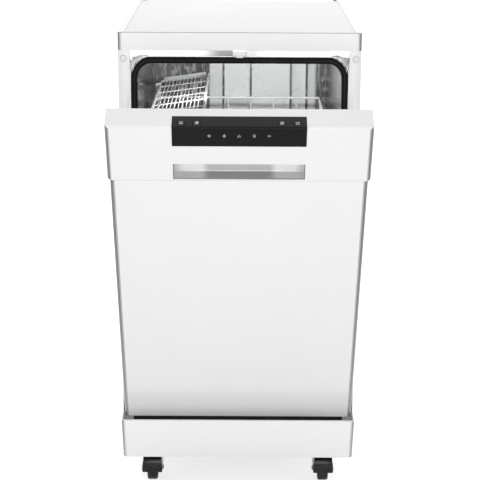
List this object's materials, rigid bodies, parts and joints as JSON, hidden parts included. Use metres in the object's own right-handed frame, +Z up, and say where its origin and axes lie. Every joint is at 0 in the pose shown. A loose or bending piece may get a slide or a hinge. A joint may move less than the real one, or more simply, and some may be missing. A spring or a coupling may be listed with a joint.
{
  "type": "portable dishwasher",
  "caption": "Slim portable dishwasher on casters, with a tilting door, sliding wire racks, spray arms and top-edge push buttons.",
  "frame": {"origin": "centre of the cabinet's footprint, on the floor", "axes": "+X to the right seen from the front, the front and door face -Y, +Z up"},
  "size_m": [0.452, 0.905, 0.915],
  "materials": {
    "white_enamel": "smooth white enamel",
    "white_plastic": "satin white moulding",
    "grey_laminate": "fine-textured white laminate",
    "galvanised": "zinc-coated steel",
    "tub_steel": "polished stainless steel",
    "black_gloss": "black gloss",
    "black_plastic": "black moulding",
    "grey_plastic": "grey moulding",
    "pale_plastic": "pale grey moulding",
    "base_plastic": "dark grey moulding",
    "handle_silver": "silver paint",
    "rubber": "black rubber",
    "rack_wire": "pale grey coated wire",
    "felt": "insulating felt",
    "circuit_green": "lacquered circuit board",
    "lamp_lens": "clear lens",
    "rinse_blue": "blue moulding",
    "spring_steel": "spring steel"
  },
  "bodies": {
    "cabinet": {"worktop_frame": "white_plastic", "worktop_panel": "grey_laminate", "side_panel_left": "white_enamel", "side_panel_right": "white_enamel", "rear_panel": "galvanised", "base_tray": "base_plastic", "front_frame": "tub_steel", "screw_caps": "pale_plastic", "tub_wrapper": "tub_steel", "tub_back": "tub_steel", "tub_floor": "tub_steel", "tub_gasket": "rubber", "latch_strike": "white_plastic", "plinth_cover": "white_enamel", "sump": "grey_plastic", "circulation_pump": "base_plastic", "drain_pump": "base_plastic", "inlet_valve": "pale_plastic", "drain_outlet": "black_plastic", "cord_gland": "black_plastic", "feed_pipe": "pale_plastic", "filter_plate": "tub_steel", "hinge_brackets": "galvanised", "door_springs": "spring_steel", "caster_plates": "black_plastic", "rail_rollers": "pale_plastic"},
    "door": {"door_outer_panel": "white_enamel", "door_console": "white_plastic", "control_panel": "black_gloss", "indicator_lights": "lamp_lens", "handle_pocket": "handle_silver", "door_inner_panel": "tub_steel", "door_insulation": "felt", "control_board": "circuit_green", "dispenser_body": "pale_plastic", "door_latch": "grey_plastic", "hinge_arms": "galvanised"},
    "power_key": {"button_power": "black_gloss"},
    "program_key": {"button_program": "black_gloss"},
    "delay_key": {"button_delay": "black_gloss"},
    "start_key": {"button_start": "black_gloss"},
    "detergent_lid": {"dispenser_lid": "pale_plastic"},
    "rinse_aid_cap": {"rinse_cap": "rinse_blue"},
    "upper_basket": {"upper_rack": "rack_wire", "rack_fittings": "pale_plastic", "rack_rails": "galvanised"},
    "shelf": {"cup_shelf": "pale_plastic"},
    "upper_arm": {"upper_spray_arm": "grey_plastic"},
    "lower_basket": {"lower_rack": "rack_wire", "cutlery_basket": "grey_plastic"},
    "lower_arm": {"lower_spray_arm": "grey_plastic"},
    "filter": {"filter_cup": "grey_plastic"},
    "swivel_fl": {"caster_fork_fl": "black_plastic"},
    "wheel_fl": {"caster_wheel_fl": "black_plastic"},
    "swivel_fr": {"caster_fork_fr": "black_plastic"},
    "wheel_fr": {"caster_wheel_fr": "black_plastic"},
    "swivel_rl": {"caster_fork_rl": "black_plastic"},
    "wheel_rl": {"caster_wheel_rl": "black_plastic"},
    "swivel_rr": {"caster_fork_rr": "black_plastic"},
    "wheel_rr": {"caster_wheel_rr": "black_plastic"}
  },
  "joints": [
    {"name": "door_hinge", "type": "hinge", "parent": "cabinet", "child": "door", "pos_m": [0, -0.305, 0.24], "axis": [1, 0, 0], "range_deg": [-25.5, 64.5]},
    {"name": "upper_rack_slide", "type": "slide", "parent": "cabinet", "child": "upper_basket", "axis": [0, -1, 0], "range_m": [-0.09792, 0.24768]},
    {"name": "lower_rack_slide", "type": "slide", "parent": "cabinet", "child": "lower_basket", "axis": [0, -1, 0], "range_m": [-0.02219, 0.05612]},
    {"name": "cup_shelf_hinge", "type": "hinge", "parent": "upper_basket", "child": "shelf", "pos_m": [-0.169, -0.12292, 0.759], "axis": [0, -1, 0], "range_deg": [0, 50]},
    {"name": "upper_arm_spin", "type": "hinge", "parent": "upper_basket", "child": "upper_arm", "pos_m": [0, -0.11542, 0.6174], "axis": [0, 0, 1], "continuous": true},
    {"name": "lower_arm_spin", "type": "hinge", "parent": "cabinet", "child": "lower_arm", "pos_m": [0, -0.01, 0.298], "axis": [0, 0, 1], "continuous": true},
    {"name": "filter_twist", "type": "hinge", "parent": "cabinet", "child": "filter", "pos_m": [0.046, 0.012, 0.255], "axis": [0, 0, 1], "range_deg": [0, 90]},
    {"name": "power_press", "type": "slide", "parent": "door", "child": "power_key", "axis": [0, 0.4305, -0.9026], "range_m": [0, 0.001], "stiffness_N_per_m": 300, "springref_m": -0.0005},
    {"name": "program_press", "type": "slide", "parent": "door", "child": "program_key", "axis": [0, 0.4305, -0.9026], "range_m": [0, 0.001], "stiffness_N_per_m": 300, "springref_m": -0.0005},
    {"name": "delay_press", "type": "slide", "parent": "door", "child": "delay_key", "axis": [0, 0.4305, -0.9026], "range_m": [0, 0.001], "stiffness_N_per_m": 300, "springref_m": -0.0005},
    {"name": "start_press", "type": "slide", "parent": "door", "child": "start_key", "axis": [0, 0.4305, -0.9026], "range_m": [0, 0.001], "stiffness_N_per_m": 300, "springref_m": -0.0005},
    {"name": "dispenser_lid_hinge", "type": "hinge", "parent": "door", "child": "detergent_lid", "pos_m": [-0.028, -0.38356, 0.48948], "axis": [-1, 0, 0], "range_deg": [0, 110]},
    {"name": "rinse_cap_twist", "type": "hinge", "parent": "door", "child": "rinse_aid_cap", "pos_m": [0.049, -0.40527, 0.52455], "axis": [0, 0.9026, 0.4305], "range_deg": [0, 90]},
    {"name": "turn_fl", "type": "hinge", "parent": "cabinet", "child": "swivel_fl", "pos_m": [-0.172, -0.233, 0.07], "axis": [0, 0, 1], "continuous": true},
    {"name": "spin_fl", "type": "hinge", "parent": "swivel_fl", "child": "wheel_fl", "pos_m": [-0.172, -0.218, 0.025], "axis": [1, 0, 0], "continuous": true},
    {"name": "turn_fr", "type": "hinge", "parent": "cabinet", "child": "swivel_fr", "pos_m": [0.172, -0.233, 0.07], "axis": [0, 0, 1], "continuous": true},
    {"name": "spin_fr", "type": "hinge", "parent": "swivel_fr", "child": "wheel_fr", "pos_m": [0.172, -0.218, 0.025], "axis": [1, 0, 0], "continuous": true},
    {"name": "turn_rl", "type": "hinge", "parent": "cabinet", "child": "swivel_rl", "pos_m": [-0.172, 0.233, 0.07], "axis": [0, 0, 1], "continuous": true},
    {"name": "spin_rl", "type": "hinge", "parent": "swivel_rl", "child": "wheel_rl", "pos_m": [-0.172, 0.248, 0.025], "axis": [1, 0, 0], "continuous": true},
    {"name": "turn_rr", "type": "hinge", "parent": "cabinet", "child": "swivel_rr", "pos_m": [0.172, 0.233, 0.07], "axis": [0, 0, 1], "continuous": true},
    {"name": "spin_rr", "type": "hinge", "parent": "swivel_rr", "child": "wheel_rr", "pos_m": [0.172, 0.248, 0.025], "axis": [1, 0, 0], "continuous": true}
  ],
  "couplings": [
    {"joint": "upper_rack_slide", "follows": "door_hinge", "m_per_rad": 0.22002},
    {"joint": "lower_rack_slide", "follows": "door_hinge", "m_per_rad": 0.049847}
  ]
}
